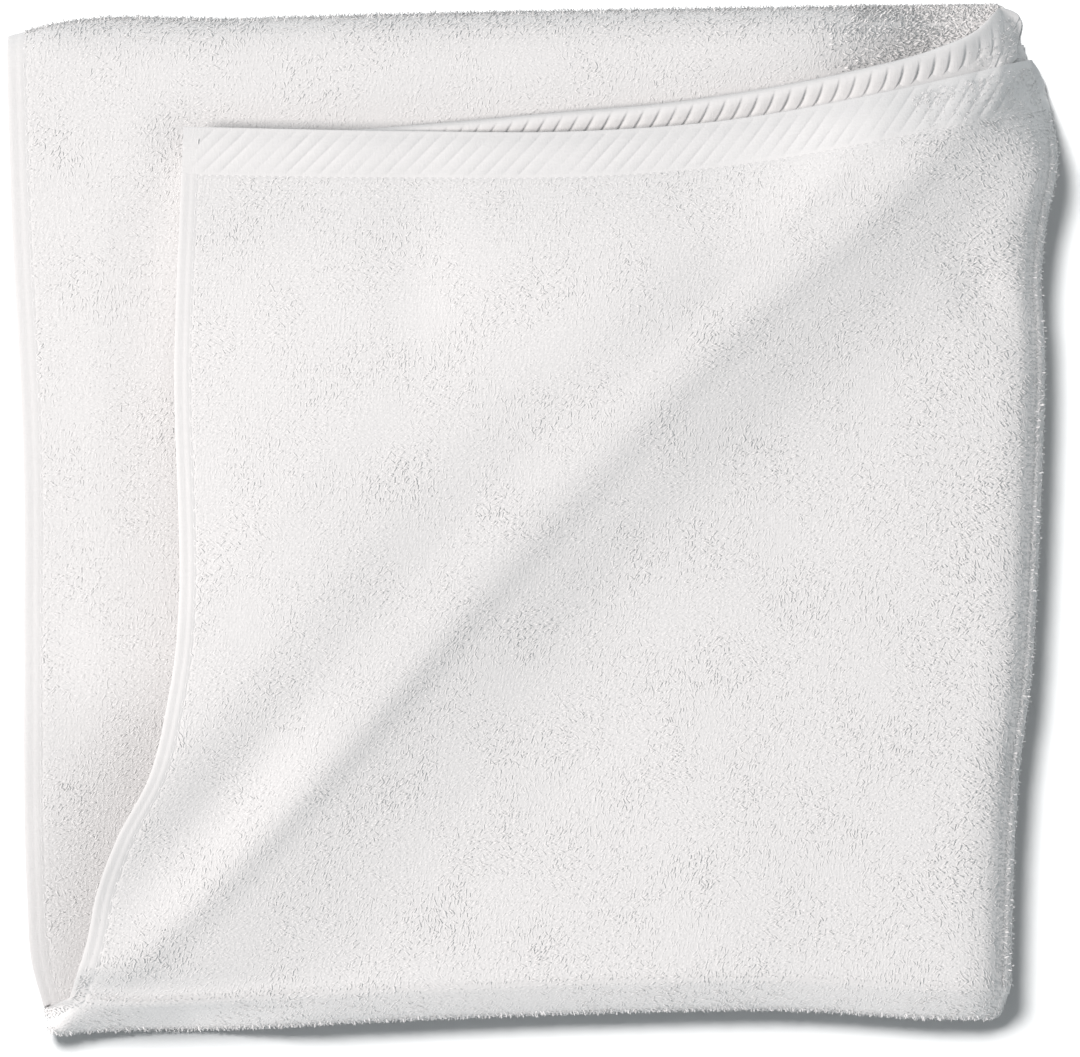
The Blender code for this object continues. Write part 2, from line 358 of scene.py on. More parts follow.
def unevenness(x, y, height, shortest, longest, seed):
    """Soft lumps: a few waves in random directions, with lengths between the two given."""
    draw = np.random.default_rng(seed)
    total = np.zeros_like(x)
    for _ in range(16):
        number = 2 * math.pi / draw.uniform(shortest, longest)
        angle = draw.uniform(0, math.pi)
        total += np.cos(number * (x * math.cos(angle) + y * math.sin(angle)) + draw.uniform(0, 2 * math.pi))
    return height * total / math.sqrt(8)


def corner_fall(corner, x, y):
    """How far a corner falls away at plan places: more and more in x, fading in over a length in y."""
    drop, start_x, length_x, start_y, length_y = corner
    # A straight ramp with a soft start, which stops a little past its length.
    t = (x / MM - start_x) / length_x
    ramp = np.minimum(0.5 * (t + np.sqrt(t * t + 0.04)), 1.15)
    return drop * MM * ramp * fade_in(y, start_y, length_y)


def rolled(distance, width):
    """From 0 on the flat to 1 at the edge, as the side of a round."""
    return 1 - np.sqrt(1 - np.clip(1 - distance / width, 0, 1) ** 2)


print("a millimetre from its edge the side fold is rolled down by",
      round(SIDE_ROLL * rolled(1 * MM, SIDE_ROLL_WIDTH) / MM, 1), "mm")


# %% Heights of the upper and the lower strips
def upper_height(x, y, inside, off_bottom, lumps, from_fold):
    """How far the pulled strips rise over a flat stack, where inside is from the edge of the lower end."""
    reach = RIDGE_REACH - SOONER_AT_RIGHT * fade_in(x, 60, 60)
    ridge = ridge_height(x, y) * fade_in(inside, 0, reach)
    end = -END_SINK * MM * (1 - fade_in(inside, 0, END_FADE))
    rounded = SIDE_ROLL * rolled(from_fold, SIDE_ROLL_WIDTH)
    corners = sum(corner_fall(corner, x, y) for corner in UPPER_CORNERS)
    return (ridge + end + dips(UPPER_DIPS, x, y) + lumps) * off_bottom - (rounded + corners)


def lower_height(x, y, inside, off_bottom, lumps, from_fold):
    """How far the resting strips rise over a flat stack: mostly not, as they are pressed and rolled down."""
    pressed = np.where(inside > 0, 1 - fade_in(inside, 0, END_FADE), 1 - fade_in(inside, 0, -BEYOND_FADE))
    end = -PRESSED_BELOW * END_SINK * MM * pressed * fade_in(x, -138, 30)
    total = (lumps + end) * off_bottom
    total -= corner_fall(LOWER_FAR_CORNER, x, y) + 0.5 * SIDE_ROLL * rolled(from_fold, SIDE_ROLL_WIDTH)
    total -= corner_fall(LOWER_NEAR_CORNER, x, y) * (1 - fade_in(x, -130, 60))
    from_top = outline_at(UPPER_FOLD, x) - y
    total -= TOP_ROLL * np.clip(1 - from_top / TOP_ROLL_WIDTH, 0, 2) ** 2
    side = np.array(PULLED_SIDE) * MM
    beside = np.interp(-y, -side[:, 1], side[:, 0]) - x
    total -= BESIDE_PULLED_SIDE * (1 - fade_in(beside, -5, CLOSE_BESIDE)) * fade_in(y, 128, -30)
    further_out = np.clip(1 - (beside / MM - 2) / WIDE_BESIDE, 0, 1.1)
    return total - BESIDE_PULLED_SIDE * further_out * fade_in(y, 75, -80)


def swell(x, y, pulled, from_fold):
    """The share by which the stack is taller or lower than its flat height, at plan places."""
    inside = outline_at(UNDER_HEM, x) - y
    off_bottom = fade_in(y, -166, 14)
    lumps = unevenness(x, y, LUMP, *LUMP_LENGTHS, 5)
    upper = upper_height(x, y, inside, off_bottom, lumps, from_fold)
    lower = lower_height(x, y, inside, off_bottom, lumps, from_fold)
    share = 1 + pulled * upper / STACK_TOP + (1 - pulled) * lower / RESTING_TOP
    return 0.5 * (share + np.sqrt(share**2 + SOFTENING))


share_in_the_middle = swell(np.zeros(1), np.zeros(1), 1.0, 0.5 * STRIP_WIDTH)
print("the stack's middle is", np.round(share_in_the_middle[0], 2), "times its flat height")

# %% [markdown]
# ## A place anywhere in the cloth
# Every piece lies on the same cloth, so one function gives its places: a row says where the strip or bend
# is, a share says how far across it, a turn carries it round the side fold, and a height lifts it off the
# cloth's middle.

# %% The cloth at any row, column and height
def cloth(rows, across, turn, height):
    """Points of the cloth. Height is off its middle, outwards on the side that the side fold shows."""
    reach = 0.5 * PITCH + height
    off = rows["sense"] * reach * np.cos(turn) + rows["radius"]
    points = np.empty(off.shape + (3,))
    points[..., :2] = rows["places"]
    points[..., 0] += SIDE_BULGE * reach * np.sin(turn)
    points[..., 1] += rows["swing"] * off
    points[..., 2] = LAYER_THICKNESS / 2 + rows["level"] * PITCH + rows["rise"] * off
    from_fold = (1 - across) * STRIP_WIDTH + 0 * off
    points[..., 2] *= swell(points[..., 0], points[..., 1], rows["pulled"], from_fold)
    return points


middle = cloth(strip_rows(0, np.full(1, 0.5), np.full(1, 0.5)), np.full(1, 0.5), np.zeros(1), 1.3 * MM)
print("middle of the top face, in millimetres:", np.round(middle[0] / MM, 1))

# %% [markdown]
# ## The ground cloth
# Terry's ground is a plain woven cloth, about a millimetre thick, that the loops stand on. One grid of
# points follows the folds, with columns crowded at the hems and rows crowded in the bends. The same grid is
# laid at the outer and the inner face and joined round its edge, so the cloth has a real thickness at every
# edge.

# %% Meshes from arrays
def make_object(name, points, faces):
    """A smooth mesh from an array of points and one of faces, which all have the same number of corners."""
    mesh = bpy.data.meshes.new(name)
    corners = faces.shape[1]
    mesh.vertices.add(len(points))
    mesh.vertices.foreach_set("co", np.asarray(points, np.float32).ravel())
    mesh.loops.add(faces.size)
    mesh.loops.foreach_set("vertex_index", np.asarray(faces, np.int32).ravel())
    mesh.polygons.add(len(faces))
    mesh.polygons.foreach_set("loop_start", np.arange(0, faces.size, corners, dtype=np.int32))
    mesh.update(calc_edges=True)
    mesh.validate()
    mesh.shade_smooth()
    made = bpy.data.objects.new(name, mesh)
    bpy.context.scene.collection.objects.link(made)
    triangles = len(faces) * (corners - 2)
    print(f"{name}: {triangles} triangles")
    return made


def grid_faces(rows, columns, first=0, flip=False):
    """Quads over a grid of points numbered row by row from first."""
    corner = first + np.arange(rows - 1)[:, None] * columns + np.arange(columns - 1)
    quads = np.stack((corner, corner + 1, corner + 1 + columns, corner + columns), axis=-1).reshape(-1, 4)
    return quads[:, ::-1] if flip else quads


def grid_edge(rows, columns):
    """Point numbers round the edge of a grid, in order."""
    numbers = np.arange(rows * columns).reshape(rows, columns)
    return np.concatenate((numbers[0], numbers[1:, -1], numbers[-1, -2::-1], numbers[-2:0:-1, 0]))


print("a grid of 3 by 4 points has", len(grid_faces(3, 4)), "quads and", len(grid_edge(3, 4)), "edge points")


# %% Rows and columns of the ground cloth
def round_fold(count):
    """Turns that carry a grid round a half circle, without its two ends."""
    return np.linspace(0.0, math.pi, count + 2)[1:-1]


def round_side(outer, fold_steps, inner):
    """Columns from the outer layer's hem, over the side fold, to the inner layer's hem, with their turns."""
    across = np.concatenate((outer, np.ones(fold_steps), inner[::-1]))
    turn = np.concatenate((np.zeros(len(outer)), round_fold(fold_steps), np.full(len(inner), math.pi)))
    return across, turn


BEND_TURNS = (round_fold(16), round_fold(9), round_fold(14))


def shares(start, length, count):
    """Shares of a length at a few given places from its start, then at even steps to its end."""
    even_steps = np.linspace(start[-1] * MM / length, 1, count + 1)
    return np.concatenate((np.array(start) * MM / length, even_steps[1:]))


ground_across, ground_turn = round_side(
    shares((1.0, 4.2, 5.0, 5.8, 8), STRIP_WIDTH, 92), 7, shares((1.0, 4.2, 5.8), STRIP_WIDTH, 20))
end_start = (6.0, 9, 14.6, 15.3, 16.0, 18)
top_along = shares(end_start, STRIP_LENGTH, 92)
top_along_under = shares((13.2, *end_start[2:]), STRIP_LENGTH, 18)[::-1]
# Shares along each strip, where the second strip is hidden and needs few rows.
HIDDEN_ROWS, SHOWN_ROWS = 14, 88
ALONGS = (top_along, np.linspace(1, 0, HIDDEN_ROWS), np.linspace(0, 1, SHOWN_ROWS), top_along_under)
ground_rows = cloth_rows(ground_across, ALONGS, BEND_TURNS)
print("the cloth's grid:", len(ground_rows["level"]), "rows of", len(ground_across), "points")

# %% The ground cloth, folded
# Half of the cloth's thickness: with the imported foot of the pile, and bare, as it is inside hems and bands.
GROUND_HALF = 1.3 * MM
BARE_HALF = 0.5 * MM
ground_down = np.full(len(ground_rows["level"]), 1.0)
ground_down[:len(top_along)], ground_down[-len(top_along_under):] = top_along, top_along_under
past_hem = fade_in(ground_across * STRIP_WIDTH, 4.2, 1.6)
past_band = fade_in(ground_down * STRIP_LENGTH, 14.6, 1.4)[:, None]
ground_half = BARE_HALF + (GROUND_HALF - BARE_HALF) * past_hem * past_band
outside = cloth(ground_rows, ground_across, ground_turn, ground_half)
inside = cloth(ground_rows, ground_across, ground_turn, -ground_half)
row_count, column_count = outside.shape[:2]
cloth_edge = grid_edge(row_count, column_count)
edge_next = np.roll(cloth_edge, -1)
inside_start = row_count * column_count
ground = make_object(
    "ground_cloth",
    np.concatenate((outside.reshape(-1, 3), inside.reshape(-1, 3))),
    np.concatenate((
        grid_faces(row_count, column_count),
        grid_faces(row_count, column_count, inside_start, flip=True),
        np.stack((edge_next, cloth_edge, cloth_edge + inside_start, edge_next + inside_start), axis=1),
    )),
)

# %% [markdown]
# ## The woven end bands
# Each end of the towel has a band without loops, woven in thick slanting ribs and turned under into a hem.
# A height map could draw the ribs, but they are real relief here, so that they catch light at any angle.
# The grid slants with them: each rib has nine columns, and its groove always falls on a column. The band
# goes round the end's edge and round the side fold. The end on top lies flat, and the one beneath it stands
# up in a rope with deeper grooves.

# %% Sections of the bands
# Lengths of a band: down from the end's edge, round the side fold, and on beyond that.
BAND_DEPTH = 18 * MM
BAND_FOLD = 9.6 * MM
BAND_TUCK = 20 * MM
# Millimetres from the end's edge, and height off the cloth's middle, over the edge and back under it.
TOP_SECTION = ((17.3, 1.1), (16.9, 1.3), (16.4, 1.25), (15.8, 1.45), (15.0, 1.5), (14.0, 1.5), (11.0, 1.55),
               (8.5, 1.52), (7.0, 1.4), (5.6, 1.15), (4.4, 0.8), (3.3, 0.35), (2.3, -0.15), (1.4, -0.65),
               (0.6, -1.05), (0.05, -1.25), (0.0, -1.35), (0.6, -1.4), (2.5, -1.4), (16.0, -1.4))
UNDER_SECTION = ((17.3, 1.1), (16.9, 1.2), (16.4, 1.1), (15.6, 0.7), (14.0, -0.4), (12.6, -1.0),
                 (11.4, -1.15), (10.2, -0.95), (9.0, -0.35), (7.8, 0.45), (6.6, 1.3), (5.4, 2.15),
                 (4.2, 2.85), (3.2, 3.2), (2.3, 3.2), (1.5, 2.85), (0.9, 2.2), (0.4, 1.3), (0.05, 0.3),
                 (0.0, -0.3), (0.6, -1.2), (2.5, -1.4), (16.0, -1.4))
# Places of a rib's columns as shares of it, closest beside its steep side, and the shares that a cut groove's
# two sides take.
RIB_COLUMNS = (0, 0.1, 0.2, 0.34, 0.5, 0.66, 0.8, 0.88, 0.94)
STEEP_SIDE, SLOPING_SIDE = 0.12, 0.5
# Where the ribs stop above the seam and start beside the side hem, and how far they fade there.
RIBS_STOP, STOP_FADE = 15.4 * MM, 1.0 * MM
RIBS_START, START_FADE = 5 * MM, 3 * MM
# Wear fills the grooves in patches of these lengths, and less so from a place near the side fold.
WORN_PATCHES = (9 * MM, 40 * MM)
LESS_WORN, LESS_WORN_FROM, LESS_WORN_OVER = 2.5, 270 * MM, 60 * MM
print("the rope stands", max(height for _, height in UNDER_SECTION), "mm off the middle of its cloth")


# %% End bands
def groove_depth(share, cut):
    """From 0 on a rib to 1 in its groove. A cut groove has one steep side, and others are even and soft."""
    if not cut:
        return 1 - np.abs(np.sin(math.pi * share)) ** 0.6
    steep = np.clip(1 - (1 - share) / STEEP_SIDE, 0, 1) ** 1.2
    sloping = np.clip(1 - share / SLOPING_SIDE, 0, 1) ** 2
    return np.maximum(steep, sloping)


def end_band(name, strip, section, pitch, slant, depth, wear, ribs_from, cut, outer_first):
    """The ribbed band along the end of a strip, on the layer that shows, round its fold and a bit beyond."""
    section = np.array(section) * MM
    down, base = section[:, 0, None], section[:, 1, None]
    reach = STRIP_WIDTH + BAND_FOLD + BAND_TUCK
    phase = (np.arange(math.ceil((reach + slant * BAND_DEPTH) / pitch))[:, None] + RIB_COLUMNS).ravel()
    run = np.clip(phase * pitch - slant * down, 0, reach)
    round_part = np.clip((run - STRIP_WIDTH) / BAND_FOLD, 0, 1) * math.pi
    turn = round_part if outer_first else math.pi - round_part
    across = np.where(round_part < math.pi, np.minimum(run / STRIP_WIDTH, 1),
                      1 - (run - STRIP_WIDTH - BAND_FOLD) / STRIP_WIDTH)
    # The ribs fade in down from the edge, over a length of ribs_from in millimetres.
    ribbed = fade_in(down, 0.2 * ribs_from, ribs_from) * smooth_step((RIBS_STOP - down) / STOP_FADE)
    ribbed = ribbed * smooth_step((run - RIBS_START) / START_FADE)
    past_edge = np.argmin(section[:, 0])
    ribbed[past_edge:] = 0
    worn = 1 - wear + unevenness(run, down, wear, *WORN_PATCHES, 31)
    worn = np.clip(worn, 0.1, 2) + wear * LESS_WORN * smooth_step((run - LESS_WORN_FROM) / LESS_WORN_OVER)
    groove = depth * ribbed * worn * groove_depth(phase % 1, cut)
    rows = strip_rows(strip, across, down / STRIP_LENGTH + 0 * across)
    points = cloth(rows, across, turn, base - groove)
    return make_object(name, points.reshape(-1, 3), grid_faces(*points.shape[:2], flip=not outer_first))


band_top = end_band("end_band_top", strip=0, section=TOP_SECTION, pitch=6.3 * MM, slant=1.11, depth=0.38 * MM,
                    wear=0.25, ribs_from=1.5, cut=False, outer_first=True)
band_under = end_band("end_band_under", strip=3, section=UNDER_SECTION, pitch=6.5 * MM, slant=1.0,
                      depth=0.85 * MM, wear=0.08, ribs_from=5.0, cut=True, outer_first=False)

# %% [markdown]
# ## The side hems
# The two long sides are turned over once and stitched down, which leaves a narrow smooth strip with a
# rounded edge and a low seam. A curve with a bevel would twist where the side turns, so each hem is one
# section carried along the whole side by the same folds as the cloth, through every bend.

# %% Side hems
# Millimetres in from the hem's edge, and height off the cloth's middle.
HEM_SECTION = ((7.0, 1.15), (6.3, 1.36), (5.8, 1.33), (5.3, 1.42), (3.9, 1.42), (3.4, 1.35), (2.9, 1.38),
               (1.6, 1.44), (0.12, 1.46), (0.0, 1.4), (0.0, -0.6), (0.6, -1.2), (3.0, -1.4), (6.0, -1.4))
START_OF_HEM = 6.8 * MM / STRIP_LENGTH
# How far the seam puckers the hem, and the radians that the pucker's wave turns from row to row.
PUCKER, PUCKER_TURN = 0.06 * MM, 2.1


def side_hem(name, turn, count):
    """The hem along a long side, on the outer or the inner layer, faintly puckered by its seam."""
    section = np.array(HEM_SECTION) * MM
    rows = cloth_rows(
        section[:, 0] / STRIP_WIDTH,
        (np.linspace(START_OF_HEM, 1, count), np.linspace(1, 0, count), np.linspace(0, 1, count),
         np.linspace(1, START_OF_HEM, count)),
        BEND_TURNS,
    )
    run = np.arange(len(rows["level"]))[:, None]
    pucker = PUCKER * np.sin(PUCKER_TURN * run) * (section[:, 1] > 0)
    points = cloth(rows, section[:, 0] / STRIP_WIDTH, turn, section[:, 1] + pucker)
    made = make_object(name, points.reshape(-1, 3), grid_faces(*points.shape[:2], flip=True))
    made.data.set_sharp_from_angle(angle=math.radians(50))
    return made


hem_outer = side_hem("side_hem_outer", 0.0, 150)
hem_inner = side_hem("side_hem_inner", math.pi, 60)

# %% [markdown]
# ## The loop pile
# Terry's face is thousands of small yarn loops, about one to every one and a half square millimetres, that
# stand two millimetres high and lean over each other. Hair strands would be lighter to make, but they don't
# go into the part. Each loop here is a short bent grain with both ends in the ground cloth. They stand in
# rows, as woven, and each leans its own way. Only faces that can be seen have them.

# %% Places on the cloth and the way out of it
PILE_PITCH = 1.25 * MM
PILE = np.random.default_rng(11)


def rows_of(part, across, along):
    """Rows of a part of the cloth: strips are parts 0, 2, 4 and 6, and the bends between them 1, 3 and 5."""
    return (bend_rows if part % 2 else strip_rows)(part // 2, across, along)


def on_cloth(part, across, along, turn, height):
    """Places on a part of the cloth."""
    return cloth(rows_of(part, across, along), across, turn, height)


def facing(part, across, along, turn, height):
    """Places on a part of the cloth and the directions that face out there."""
    places = on_cloth(part, across, along, turn, height)
    step = 1e-4
    if turn.min() < turn.max():
        over = on_cloth(part, across, along, turn + step * 50, height) - places
    else:
        over = on_cloth(part, across - step, along, turn, height) - places
    down = on_cloth(part, across, along + np.where(along > 0.5, -step, step), turn, height) - places
    out = np.cross(over, down)
    out /= np.linalg.norm(out, axis=-1, keepdims=True) + 1e-12
    rises = on_cloth(part, across, along, turn, height + 0.1 * MM) - places
    out *= np.sign((out * rises).sum(axis=-1, keepdims=True))
    return places, out


# Directions that face out of the ground cloth's outer grid, at its points.
OUTSIDE_FACES = np.cross(np.gradient(outside, axis=0), np.gradient(outside, axis=1))
OUTSIDE_FACES = OUTSIDE_FACES / (np.linalg.norm(OUTSIDE_FACES, axis=-1, keepdims=True) + 1e-12)


def on_ground(part, over, down, fold):
    """Places and facings on the ground cloth as it is meshed, so that no loop is buried or floats."""
    part_rows = [(BEND_TURNS if number % 2 else ALONGS)[number // 2] for number in range(7)]
    first = sum(len(values) for values in part_rows[:part])
    values = part_rows[part]
    if part % 2:
        first, values = first - 1, np.concatenate(([0.0], values, [math.pi]))
    order = 1 if values[-1] > values[0] else -1
    row = first + np.interp(order * down, order * values, np.arange(len(values)))
    if fold:
        column = np.interp(over, ground_turn, np.arange(column_count))
    else:
        outer = np.count_nonzero(ground_turn == 0)
        column = np.interp(over, ground_across[:outer], np.arange(outer))
    r, c = np.minimum(row.astype(int), row_count - 2), np.minimum(column.astype(int), column_count - 2)
    u, v = (row - r)[:, None], (column - c)[:, None]
    return [
        (1 - u) * ((1 - v) * grid[r, c] + v * grid[r, c + 1])
        + u * ((1 - v) * grid[r + 1, c] + v * grid[r + 1, c + 1])
        for grid in (outside, OUTSIDE_FACES)
    ]


print("the top face looks up by", np.round(OUTSIDE_FACES[20, 20, 2], 3))


# %% A grain of yarn
# How deep a grain's ends are rooted, and how far every grain stays above the floor.
ROOT_DEPTH = 0.12 * MM
OVER_FLOOR = 0.05 * MM
# Where a grain's two raised sections stand, as shares of its length, and how high, as shares of its lift.
RAISED_SECTIONS = ((-0.32, 0.9), (0.32, 1.0))


def grains(name, places, out, angle, length, radius, lift, bow, stand=0.0):
    """Short bent grains of yarn on a surface, in one mesh, lying at angles in plan or along directions."""
    if angle.ndim == 2:
        lie = angle
    else:
        # The plan direction, tipped by the turn that takes straight up to the way out of the cloth.
        plan_lie = np.stack((np.cos(angle), np.sin(angle), 0 * angle), axis=-1)
        tip = np.stack((-out[:, 1], out[:, 0], 0 * angle), axis=-1)
        tipped = tip * (tip * plan_lie).sum(axis=-1, keepdims=True) / np.maximum(1 + out[:, 2:], 0.05)
        lie = plan_lie * out[:, 2:] + np.cross(tip, plan_lie) + tipped
    lie = lie - (lie * out).sum(axis=-1, keepdims=True) * out
    lie /= np.linalg.norm(lie, axis=-1, keepdims=True) + 1e-12
    lean = np.broadcast_to(stand, length.shape)[:, None]
    lie, out = np.cos(lean) * lie + np.sin(lean) * out, np.cos(lean) * out - np.sin(lean) * lie
    side = np.cross(out, lie)

    def at(forward, sideways, up):
        return places + forward[:, None] * lie + sideways[:, None] * side + up[:, None] * out

    none = np.zeros(len(places))
    # How far the two shoulders of a raised section lie below its middle.
    shoulder = np.minimum(0.8 * lift, 0.6 * radius)
    corners = [at(-0.5 * length, none, none - ROOT_DEPTH)]
    for end, rise in RAISED_SECTIONS:
        corners += [
            at(end * length, bow - radius, rise * lift - shoulder),
            at(end * length, bow, rise * lift),
            at(end * length, bow + radius, rise * lift - shoulder),
        ]
    corners.append(at(0.5 * length, none, none - ROOT_DEPTH))
    points = np.stack(corners, axis=1).reshape(-1, 3)
    points[:, 2] = np.maximum(points[:, 2], OVER_FLOOR)
    one = np.array(((0, 2, 1), (0, 3, 2), (1, 2, 5), (1, 5, 4), (2, 3, 6), (2, 6, 5), (4, 5, 7), (5, 6, 7)))
    faces = (8 * np.arange(len(places))[:, None, None] + one).reshape(-1, 3)
    return make_object(name, points, faces)


# %% Rows of loops
# How far loops stray from their rows, as a share of their spacing.
JITTER = 0.3
# Round a fold a place is an angle, and the fold's radius turns it into a length: side fold, bottom and top.
SIDE_RADIUS, BOTTOM_RADIUS, TOP_RADIUS = 3 * MM, 12 * MM, 6.5 * MM
# How far under the top strip's edges the loops of the strip below go on.
UNDER_EDGE = 4 * MM


def scattered(start, stop, pitch):
    """A row of places between two ends at about the given pitch."""
    count = max(1, round((stop - start) / pitch))
    return start + (np.arange(count) + 0.5) * (stop - start) / count


def loop_field(part, across_range, along_range, along_length, fold=False, keep=None, pitch=PILE_PITCH):
    """Places and facings of loops in jittered rows over a part, where one unit along has the given length."""
    down = scattered(*along_range, pitch / along_length)
    if fold:
        over = scattered(0.0, math.pi, pitch / SIDE_RADIUS)
        jitter = JITTER * pitch / SIDE_RADIUS
    else:
        over = scattered(*across_range, pitch / STRIP_WIDTH)
        jitter = JITTER * pitch / STRIP_WIDTH
    along, over = (grid.ravel() for grid in np.meshgrid(down, over, indexing="ij"))
    over = over + PILE.uniform(-jitter, jitter, len(over))
    along = along + PILE.uniform(-JITTER, JITTER, len(along)) * pitch / along_length
    along = np.clip(along, min(along_range), max(along_range))
    across, turn = (np.ones_like(over), over) if fold else (np.clip(over, 0, 1), np.zeros_like(over))
    if keep is not None:
        in_plan = rows_of(part, across, along)["places"]
        kept = keep(in_plan[:, 0], in_plan[:, 1])
        across, turn, along = across[kept], turn[kept], along[kept]
    return on_ground(part, turn if fold else across, along, fold)


def out_from_top_strip(x, y):
    """Whether plan places lie clear of the top strip, or just under its edges."""
    side = curve_at(PULLED_SIDE, np.linspace(0, 1, 200))
    hem = curve_at(UNDER_HEM, np.linspace(0, 1, 200))
    left_of = x < np.interp(-y, -side[:, 1], side[:, 0]) + UNDER_EDGE
    above = y > np.interp(x, hem[:, 0], hem[:, 1]) - UNDER_EDGE
    return left_of | above


def joined(fields, lowest):
    """Places and facings of all the fields, without those that face down too far, and which were kept."""
    places, out = (np.concatenate([field[k] for field in fields]) for k in (0, 1))
    kept = out[:, 2] > lowest
    return places[kept], out[kept], kept


print("rows of loops down one strip:", len(scattered(0, 1, PILE_PITCH / STRIP_LENGTH)))

# %% Fields of loops
face = (6.0 * MM / STRIP_WIDTH, 1)
below_band = (16.8 * MM / STRIP_LENGTH, 1)
half_turn = (0, math.pi)
# The lower layers of the side fold show least, so their loops are set wider.
fields = [
    loop_field(0, face, below_band, STRIP_LENGTH),
    loop_field(0, None, below_band, STRIP_LENGTH, fold=True),
    loop_field(1, (2.0 * MM / STRIP_WIDTH, 1), (0.5, math.pi), BOTTOM_RADIUS),
    loop_field(1, face, (0, 0.5), BOTTOM_RADIUS),
    loop_field(1, None, half_turn, BOTTOM_RADIUS, fold=True),
    loop_field(2, None, (0, 1), STRIP_LENGTH, fold=True, pitch=1.9 * MM),
    loop_field(3, face, half_turn, TOP_RADIUS),
    loop_field(4, face, (0, 1), STRIP_LENGTH, keep=out_from_top_strip),
    loop_field(4, None, (0, 1), STRIP_LENGTH, fold=True, pitch=1.7 * MM),
    loop_field(6, None, below_band, STRIP_LENGTH, fold=True, pitch=1.7 * MM),
]
# Near the bottom fold the pulled side's hem is rolled under, and its pile shows over it.
ONTO_HEM = 1.05 * MM
over_hem = (0.4 * MM / STRIP_WIDTH, 4.5 * MM / STRIP_WIDTH)
for part, along, length in ((0, (0.9, 1), STRIP_LENGTH), (1, (0, 2.4), BOTTOM_RADIUS)):
    on_hem, out = loop_field(part, over_hem, along, length)
    fields.append([on_hem + ONTO_HEM * out, out])
places, out, _ = joined(fields, -0.6)
print("loops:", len(places))

# %% Loops, each with its own lean and height
LOOPS_IN_A_PIECE = 24500
x, y = places[:, 0], places[:, 1]
# Degrees in plan: how the pile is combed, how far patches and loops stray, and its turn by the side fold.
COMBED, PATCHES_STRAY, LOOPS_STRAY, TURNED_BY_FOLD = 36, 20, 34, 55
combed = COMBED + unevenness(x, y, PATCHES_STRAY, 18 * MM, 60 * MM, 21) - TURNED_BY_FOLD * fade_in(x, 115, 45)
lean = np.radians(combed + PILE.normal(0, LOOPS_STRAY, len(x)))
# The pile is higher in patches, towards the near right corner, at the side fold and at the far edge, and
# highest in the far right corner.
raised = 0.76 + 0.22 * fade_in(x - y, -40, 220) + unevenness(x, y, 0.2, 14 * MM, 50 * MM, 22)
raised += 0.5 * fade_in(x, 120, 40) + 0.8 * fade_in(y, 163, 8)
raised = np.clip(raised + 0.8 * fade_in(x, 90, 40) * fade_in(y, 135, 25), 0.2, 2.2)
draw = PILE.uniform(0, 1, (4, len(x)))
length, radius = (1.6 + 1.0 * draw[0]) * MM, (0.20 + 0.08 * draw[1]) * MM
lift, bow = (0.05 + 0.29 * draw[2] ** 2) * raised * MM, (draw[3] - 0.5) * 0.6 * MM
pieces = []
for number, some in enumerate(np.array_split(np.arange(len(x)), math.ceil(len(x) / LOOPS_IN_A_PIECE)), 1):
    pieces.append(grains(f"loop_pile_{number}", places[some], out[some], lean[some], length[some],
                         radius[some], lift[some], bow[some]))
print("mean lift of a loop:", round(float(lift.mean()) / MM, 2), "mm")

# %% [markdown]
# ## Loops that stand up
# Along a fold the cloth is bent, so the loops open and stand out from it, and the towel's outline looks
# woolly. A few also cling to the bands near the side fold. The same grain is used, stood up at random
# angles, and set closer where the pile shows from its side.

# %% Loops that stand up along the folds
def far_corner(x, y):
    """Whether plan places lie at the far end of the resting strips, where the pile stands up."""
    starts = 98 + PILE.uniform(0, 40, len(x))
    return (x > starts * MM) & (y > outline_at(UNDER_HEM, x) - 2 * MM)


edges = [
    loop_field(4, face, (0, 0.14), STRIP_LENGTH, keep=far_corner, pitch=0.85 * MM),
    loop_field(3, (0.85, 1), (0.7, 3.0), TOP_RADIUS, pitch=0.85 * MM),
    loop_field(3, face, (0.7, 2.2), TOP_RADIUS, pitch=1.05 * MM),
    loop_field(1, face, (1.1, 1.8), BOTTOM_RADIUS, pitch=1.3 * MM),
    loop_field(0, None, below_band, STRIP_LENGTH, fold=True, pitch=1.7 * MM),
    loop_field(4, None, (0, 1), STRIP_LENGTH, fold=True, pitch=2.4 * MM),
]
# Fuzz clings to both bands near the side fold, more of it to the one on top: its count and size in loops.
FUZZ, FUZZ_ON_TOP, FUZZ_SIZE = 850, 651, 0.6
# The share of the strip's width that it reaches on each band, and the millimetres down from the end's edge.
ON_TOP_REACH, UNDER_REACH = 0.15, 0.07
FUZZ_NEAREST, FUZZ_SPREAD = 2.5, 13.5
fuzz = PILE.uniform(0, 1, (2, FUZZ))
under = np.arange(FUZZ) >= FUZZ_ON_TOP
fuzz_across = 1 - np.where(under, UNDER_REACH, ON_TOP_REACH) * fuzz[0] ** 1.4
fuzz_down = (FUZZ_NEAREST + FUZZ_SPREAD * fuzz[1]) * MM / STRIP_LENGTH
sizes = [1.0] * len(edges) + [FUZZ_SIZE] * 2
for part, some, turn in ((0, ~under, 0.0), (6, under, math.pi)):
    edges.append(facing(part, fuzz_across[some], fuzz_down[some], turn + 0 * fuzz_down[some], 1.0 * MM))
places, out, kept = joined(edges, -0.3)
short = np.concatenate([np.full(len(field[0]), size) for field, size in zip(edges, sizes)])[kept]
draw = PILE.uniform(0, 1, (5, len(places)))
angle, stand = 2 * math.pi * draw[0], 0.3 + 1.0 * draw[4]
length, radius = (1.4 + 1.4 * draw[1]) * short * MM, (0.16 + 0.08 * draw[2]) * short * MM
lift, bow = 0.1 * MM + 0 * draw[2], (draw[3] - 0.5) * 0.7 * MM
